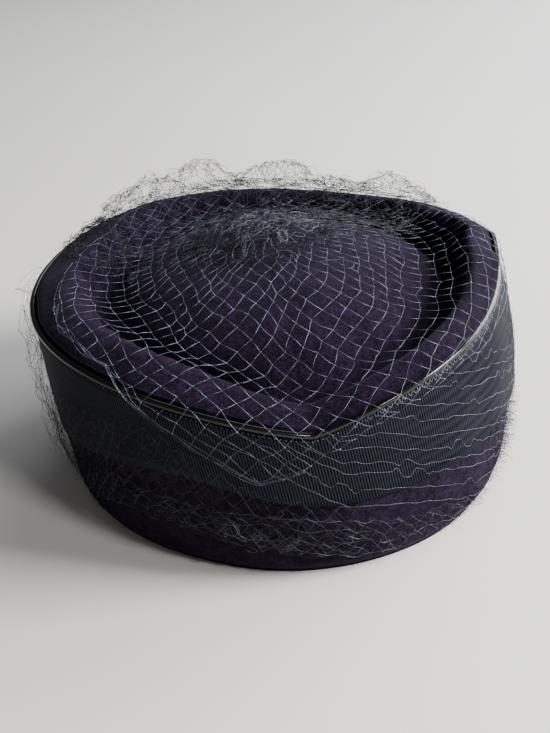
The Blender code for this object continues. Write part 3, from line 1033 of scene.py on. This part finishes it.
def hem_groups(settings, *net):
    """Threads and knots of one net at the hem."""
    return net_groups(side_net(settings, *net), settings.thread, net[-1] + 5, 0.04, 4, 2.6)


def curtain_groups(settings):
    """Threads and knots of the nets that hang in front of the ribbon."""
    groups = []
    for net in CURTAIN_NETS:
        groups += net_groups(side_net(settings, *net), settings.thread * 0.8, net[-1] + 5, 0.06, 3, 2.0)
    return groups


# Line of a thread drawn across the ribbon at the right: angle in degrees, height in mm
SWAG_LINE = np.array(
    ((-24, 83), (-12, 72), (-8, 67), (-3, 58), (1, 53), (6, 47), (14, 43))
    + ((22, 38), (29, 33), (40, 25), (55, 14), (75, 2), (95, -6))
)
SWAG_NUMBERS = np.arange(-2, 9)
SWAG_PITCH = 6.1 * MM
SWAG_STEPS = 150
SWAG_KNOT = 2.4  # radius, as a share of the thread's
SWAG_KNOT_STEP = 6
SWAG_SEED = 400


def swag_groups(settings):
    """Long threads in front of the ribbon, each a chain of short straight runs with a step here and there."""
    random = np.random.default_rng(SWAG_SEED)
    count = len(SWAG_NUMBERS)
    rise = ((SWAG_NUMBERS + random.uniform(-0.25, 0.25, count)) * SWAG_PITCH)[:, None]
    scan = np.linspace(SWAG_LINE[0, 0], SWAG_LINE[-1, 0], 400)
    level = on_line(SWAG_LINE, scan) + rise
    # Each thread comes out from under the piping, and ends a little above the hem
    free = level < Crown(np.radians(scan)).edge - 3 * MM
    start = scan[free.argmax(axis=1)][:, None]
    stop = np.where(level > 9 * MM, scan, scan[0]).max(axis=1)[:, None] - random.uniform(0, 8, (count, 1))
    turned = start + (stop - start) * np.linspace(0, 1, SWAG_STEPS)
    height = on_line(SWAG_LINE, turned) + rise
    spot = np.stack([np.radians(turned) * RIM_RADIUS, rise + 0 * turned], axis=-1)
    height = height + 1.0 * MM * waves(spot, 38 * MM, SWAG_SEED + 1)
    height = height + 0.3 * MM * waves(spot, 9 * MM, SWAG_SEED + 2)
    kink = np.abs((turned / 6.5 + random.uniform(0, 1, (count, 1))) % 1 - 0.5) * 2
    step = ramp(waves(spot * (1.0, 2.6), 34 * MM, SWAG_SEED + 3), 0.4, 0.8)
    height = height + (0.3 + 3.4 * step) * MM * (np.clip(kink * 2.2 - 0.6, 0, 1) - 0.5)
    height = np.maximum(height, 4 * MM)
    crown = Crown(np.radians(turned))
    radius = crown.net_radius(height) + 0.5 * MM + 0.3 * MM * waves(spot, 12 * MM, 5)
    lines = place(crown.angle, radius, height)
    knots = lines[:, ::SWAG_KNOT_STEP].reshape(-1, 3)
    knots = knot_group(knots, settings.thread * SWAG_KNOT, random, (0.5, 1.1))
    return [(lines, np.full(count, settings.thread * 0.9), 3), knots]


LAYER_STEPS = 140


def layer_groups(count, radius, seed):
    """Long wavy threads, one over the other, along the bunched lower edge."""
    random = np.random.default_rng(seed)
    start, stop = random.uniform(-76, -45, (count, 1)), random.uniform(10, 44, (count, 1))
    turned = start + (stop - start) * np.linspace(0, 1, LAYER_STEPS)
    share = ((np.arange(count) + random.uniform(0, 1, count)) / count)[:, None]
    spot = np.stack([np.radians(turned) * RIM_RADIUS, share * 90 * MM + 0 * turned], axis=-1)
    height = on_line(HEM_FOOT, turned) * (1 - share) + on_line(HEM_HEAD, turned) * share
    height = height + 1.6 * MM * waves(spot, 30 * MM, seed + 1) + 0.5 * MM * waves(spot, 7 * MM, seed + 2)
    height = np.maximum(height, 4 * MM)
    crown = Crown(np.radians(turned))
    lift = 0.6 * MM + 0.9 * MM * (1 + waves(spot, 15 * MM, seed + 3))
    return [(place(crown.angle, crown.net_radius(height) + lift, height), np.full(count, radius), 3)]


CURL_STEPS = 26


def curls(middle, spread, rise, count, radius, seed):
    """Places, lifts and radii of curls round a low mound; the curvature of each swings to and fro."""
    random = np.random.default_rng(seed)
    pace = random.uniform(0.7, 1.3, (count, 1)) * MM
    swing = random.uniform(2, 6, (count, 1)) * np.linspace(0, 1, CURL_STEPS)
    swing = swing + random.uniform(0, TURN, (count, 1))
    turn = np.cumsum(random.normal(0, 0.12, (count, 1)) + 0.42 * np.sin(swing), axis=1)
    turn = turn + random.uniform(0, TURN, (count, 1))
    start = random.normal(0, 0.45, (count, 2)) * spread
    x = middle[0] + start[:, :1] + np.cumsum(pace * np.cos(turn), axis=1)
    y = middle[1] + start[:, 1:] + np.cumsum(pace * np.sin(turn), axis=1) * 0.8
    far = np.hypot((x - middle[0]) / spread[0], (y - middle[1]) / spread[1])
    lift = rise * (1 - ramp(far, 0.3, 1.5)) * random.uniform(0.5, 1.1, (count, 1))
    lift = lift + 1.4 * MM * np.sin(turn * 0.7 + swing)
    return x, y, np.maximum(lift, 0.3 * MM), radius * random.uniform(0.8, 1.2, count)


def mound_groups(settings, drape):
    """Curls over the tuft in the middle of the dome."""
    x, y, lift, thick = curls((0, 10 * MM), (26 * MM, 22 * MM), 11 * MM, 90, settings.thread * 1.15, 95)
    return [(drape.point(np.arctan2(x, -y), np.hypot(x, y), lift), thick, 3)]


def loop_groups(settings, drape):
    """Puffs of net and curls over the back of the ring."""
    groups = []
    for seed in (240, 270):
        groups += net_groups(loop_net(settings, drape, seed), settings.thread * 0.85, seed + 5, 0.14, 5)
    x, y, lift, thick = curls((0, 0), (150 * MM, 9 * MM), 3 * MM, 190, settings.thread * 0.9, 290)
    angle = math.pi + np.clip(x / RIM_RADIUS, -1.05, 1.05)
    distance = drape.at_angle(drape.ridge, angle) + 5 * MM + y
    groups.append((drape.point(angle, distance, lift + 1.5 * MM), thick, 3))
    return groups


def hem_curls(settings):
    """Curls in the bunch at the hem."""
    x, y, lift, thick = curls((-14 * MM, 0), (52 * MM, 7 * MM), 2 * MM, 16, settings.thread, 150)
    angle = np.clip(x / RIM_RADIUS, math.radians(-80), math.radians(42))
    height = on_line(HEM_FOOT, np.degrees(angle)) + 8 * MM + y * 0.7
    radius = Crown(angle).net_radius(height) + lift
    return [(place(angle, radius, np.maximum(height, 4 * MM)), thick, 3)]


FOLD_ANGLES = (-78, -2)  # degrees
FOLD_STEPS = 150


def fold_groups(settings, drape, seed):
    """Three threads side by side along the folded edge of the front sheet."""
    angle = np.radians(np.linspace(*FOLD_ANGLES, FOLD_STEPS))[None] + np.zeros((3, 1))
    offset = np.array((0.0, 0.9, -1.0))[:, None] * MM
    spot = np.stack([angle * RIM_RADIUS, offset * 20 + 0 * angle], axis=-1)
    distance = net_edge(drape, angle) + offset * (1 + waves(spot, 25 * MM, seed))
    distance = distance + 0.7 * MM * waves(spot, 14 * MM, 6)
    return [(drape.point(angle, distance, 0.7 * MM), np.full(3, settings.thread), 3)]


def crown_groups(settings, drape):
    """Threads and knots of the front sheet, and the threads along its edge."""
    groups = net_groups(main_net(settings, drape), settings.thread, 41, 0.03, knots=3.6)
    return groups + fold_groups(settings, drape, 44)


# Finishes of the threads, as lit and shaded copies of one thread colour: name, share of the colour in full
# light, and gloss. Every share below 1 is painted shade.
THREADS = {
    "bright": ("net thread", 1.0, 0.6),
    "faint": ("net thread at the side", 0.7, 0.6),
    "half_shaded": ("net thread, bunched", 0.5, 0.6),
    "shaded": ("net thread in shade", 0.2, 0.3),
    "dark": ("net thread, deep", 0.1, 0.1),
}


class HAT_OT_net_veil(bpy.types.Operator):
    """Builds the net veil as bare knotted threads"""

    bl_idname = "hat.net_veil"
    bl_label = "Net veil"

    def execute(self, context):
        settings = context.scene.hat_net
        thread = settings.thread
        drape = Drape()
        finishes = {}
        # Each finish darkens the thread colour by its share: painted shade on all but the bright threads
        for kind, (name, share, gloss) in THREADS.items():
            finishes[kind] = thread_finish(name, shades(settings.colour, share)[0], gloss)
        hem = hem_groups(settings, *HEM_NET) + hem_curls(settings) + layer_groups(4, thread, 170)
        deep = hem_groups(settings, *DEEP_NET) + layer_groups(6, thread * 1.2, 175)
        # Painted shade by piece: the tuft, loops and folds darkest, the cloud and side nets in shade, the hem
        # net half shaded, the curls and swags a little
        for name, kind, groups in (
            ("net_crown", "bright", crown_groups(settings, drape)),
            ("net_tuft", "dark", bunch_groups(settings, drape, TUFT_NETS, 1.1, 0.18, 5)),
            ("net_curls", "faint", mound_groups(settings, drape)),
            ("net_cloud", "shaded", bunch_groups(settings, drape, CLOUD_NETS, 0.8, 0.08, 4)),
            ("net_loops", "dark", loop_groups(settings, drape)),
            ("net_hem", "half_shaded", hem),
            ("net_folds", "dark", deep),
            ("net_side", "shaded", curtain_groups(settings)),
            ("net_swags", "faint", swag_groups(settings)),
        ):
            piece = strand_piece(name, groups, finishes[kind])
            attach(piece, "root")
            if name == "net_crown":
                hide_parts("net_veil")
        return {"FINISHED"}


FIBRES = 6000
FIBRE_RADIUS = 0.06 * MM
FIBRE_COLOUR = (0.006, 0.0035, 0.009)
FIBRE_STEPS = np.array((-0.1, 0.5, 1.0))[:, None]  # places along a fibre, from just inside the felt


def fibre_group():
    """Fibres that stand off the side below the ribbon, longest low down on the right."""
    random = np.random.default_rng(500)
    crown = Crown(random.uniform(0, TURN, FIBRES))
    height = 5 * MM + (crown.foot - 6 * MM) * random.uniform(0, 1, FIBRES) ** 1.3
    turn, lean = random.normal(0, 0.02, FIBRES), random.normal(0, 1.2 * MM, FIBRES)
    side = np.clip(np.sin(crown.angle - 0.2), 0, 1) * (1 - height / crown.edge)
    reach = random.uniform(0.3, 1.0, FIBRES) ** 2 * (0.7 + 7.0 * side) * MM
    bend = random.normal(0, 0.5 * MM, (2, FIBRES)) * (FIBRE_STEPS**2)[..., None]
    angle = crown.angle + turn * FIBRE_STEPS**2 + bend[:, 0] / RIM_RADIUS
    radius = crown.side_radius(height) + reach * FIBRE_STEPS
    level = np.maximum(height + lean * FIBRE_STEPS + bend[:, 1], 1.5 * MM)
    return place(angle, radius, level).transpose(1, 0, 2), np.full(FIBRES, FIBRE_RADIUS), 3


class HAT_OT_felt_fuzz(bpy.types.Operator):
    """Builds the short loose fibres that stand off the felt below the ribbon"""

    bl_idname = "hat.felt_fuzz"
    bl_label = "Felt fuzz"

    def execute(self, context):
        fuzz = strand_piece("felt_fuzz", [fibre_group()], thread_finish("felt fibre", FIBRE_COLOUR, 0.0))
        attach(fuzz, "root")
        return {"FINISHED"}


# Stage

TARGET = (0.0, 0.0, 42 * MM)  # the camera looks at this height on the axis of the crown
CAMERA_ANGLE = 5.87  # degrees, as the next two
CAMERA_RISE = 29.72
CAMERA_ROLL = 4.27
CAMERA_DISTANCE = 504.3 * MM
PICTURE = (550, 733)  # pixels, as the next two
MIDDLE = (276.07, 353.9)
FOCAL_LENGTH = 1131.0
SENSOR = 36.0  # in the camera's own millimetres

# Lights: name, place, width and height, power in watts and colour
LIGHTS = (
    ("key", (1.12, -0.33, 0.74), (0.6, 0.6), 49.0, (1.0, 0.99, 0.98)),
    ("window", (1.15, 0.55, 0.48), (0.8, 0.8), 24.0, (0.93, 0.96, 1.0)),
    ("glint", (0.44, -0.69, 0.83), (0.2, 0.12), 4.5, (1.0, 1.0, 1.0)),
    ("fill", (-1.0, -0.5, 0.8), (0.9, 0.9), 0.4, (1.0, 0.90, 0.78)),
    ("back", (0.45, 0.85, 0.9), (0.8, 0.8), 5.0, (0.90, 0.95, 1.0)),
)
ROOM_COLOUR = (0.93, 0.95, 1.0, 1.0)
ROOM_STRENGTH = 0.10
FLOOR_HALF = 12.0  # half of its side


def aim_camera():
    """Camera at the photograph's angle, with the shift that its framing needs."""
    turn, rise, roll = (math.radians(value) for value in (CAMERA_ANGLE, CAMERA_RISE, CAMERA_ROLL))
    ahead = Vector((math.sin(turn) * math.cos(rise), math.cos(turn) * math.cos(rise), -math.sin(rise)))
    right = Vector((math.cos(turn), -math.sin(turn), 0.0))
    up = right.cross(ahead)
    across = math.cos(roll) * right - math.sin(roll) * up
    above = math.sin(roll) * right + math.cos(roll) * up
    made = bpy.data.cameras.new("camera")
    made.sensor_width = SENSOR
    made.lens = FOCAL_LENGTH * SENSOR / max(PICTURE)
    made.shift_x = (PICTURE[0] / 2 - MIDDLE[0]) / max(PICTURE)
    made.shift_y = (MIDDLE[1] - PICTURE[1] / 2) / max(PICTURE)
    camera = bpy.data.objects.new("camera", made)
    target = Vector(TARGET) + Vector((*AXIS, 0.0))
    turned = Matrix((across, above, -ahead)).transposed().to_4x4()
    camera.matrix_world = Matrix.Translation(target - ahead * CAMERA_DISTANCE) @ turned
    bpy.context.scene.collection.objects.link(camera)
    bpy.context.scene.camera = camera


def add_light(name, at, size, power, colour):
    """A soft light of a width and height at a place, turned to the hat."""
    made = bpy.data.lights.new(name, "AREA")
    made.shape = "RECTANGLE"
    made.size, made.size_y = size
    made.energy = power
    made.color = colour
    light = bpy.data.objects.new(name, made)
    way = Vector(TARGET) - Vector(at)
    light.matrix_world = Matrix.Translation(at) @ way.to_track_quat("-Z", "Y").to_matrix().to_4x4()
    bpy.context.scene.collection.objects.link(light)


def floor_finish(colour):
    """Pale painted floor with a faint mottle."""
    shade = Shade("pale floor", Roughness=0.7, Specular_IOR_Level=0.3)
    at = shade.object_place()
    clouds = shade.noise(at, 3.0, 3.0)
    dark, light = shades(colour, 0.97, 1.03)
    shade.feed(Base_Color=shade.colours(clouds, ((0.3, dark), (0.7, light))))
    return shade.material


class HAT_OT_stage(bpy.types.Operator):
    """Builds the floor, the lights and the camera"""

    bl_idname = "hat.stage"
    bl_label = "Stage"

    def execute(self, context):
        corners = ((-1, -1, 0), (1, -1, 0), (1, 1, 0), (-1, 1, 0))
        finish = floor_finish(context.scene.hat_stage.floor)
        new_piece("floor", np.array(corners) * FLOOR_HALF, np.array(((0, 1, 2, 3),)), finish)
        world = bpy.data.worlds.new("soft room")
        world.use_nodes = True
        background = world.node_tree.nodes["Background"]
        background.inputs["Color"].default_value = ROOM_COLOUR
        background.inputs["Strength"].default_value = ROOM_STRENGTH
        context.scene.world = world
        for light in LIGHTS:
            add_light(*light)
        aim_camera()
        return {"FINISHED"}


class HAT_PT_looks(bpy.types.Panel):
    """Lists the pieces of the hat"""

    bl_idname = "HAT_PT_looks"
    bl_label = "Pillbox hat"
    bl_space_type = "VIEW_3D"
    bl_region_type = "UI"
    bl_category = "Hat"

    def draw(self, context):
        for operator in OPERATORS:
            self.layout.operator(operator.bl_idname)
        for name in SETTINGS:
            group = getattr(context.scene, name)
            for key in group.__annotations__:
                self.layout.prop(group, key)


OPERATORS = (
    HAT_OT_stage,
    HAT_OT_felt_body,
    HAT_OT_ribbon_band,
    HAT_OT_piping,
    HAT_OT_picots,
    HAT_OT_net_veil,
    HAT_OT_felt_fuzz,
)
SETTINGS = {
    "hat_felt": FeltSettings,
    "hat_ribbon": RibbonSettings,
    "hat_piping": PipingSettings,
    "hat_net": NetSettings,
    "hat_stage": StageSettings,
}


def register():
    for made in (*SETTINGS.values(), *OPERATORS, HAT_PT_looks):
        bpy.utils.register_class(made)
    for name, group in SETTINGS.items():
        setattr(bpy.types.Scene, name, bpy.props.PointerProperty(type=group))


def unregister():
    for name in SETTINGS:
        delattr(bpy.types.Scene, name)
    for made in (HAT_PT_looks, *OPERATORS, *SETTINGS.values()):
        bpy.utils.unregister_class(made)


def main():
    register()
    bpy.ops.hat.stage()
    bpy.ops.hat.felt_body()
    bpy.ops.hat.ribbon_band()
    bpy.ops.hat.piping()
    bpy.ops.hat.picots()
    bpy.ops.hat.net_veil()
    bpy.ops.hat.felt_fuzz()


if __name__ == "__main__":
    main()
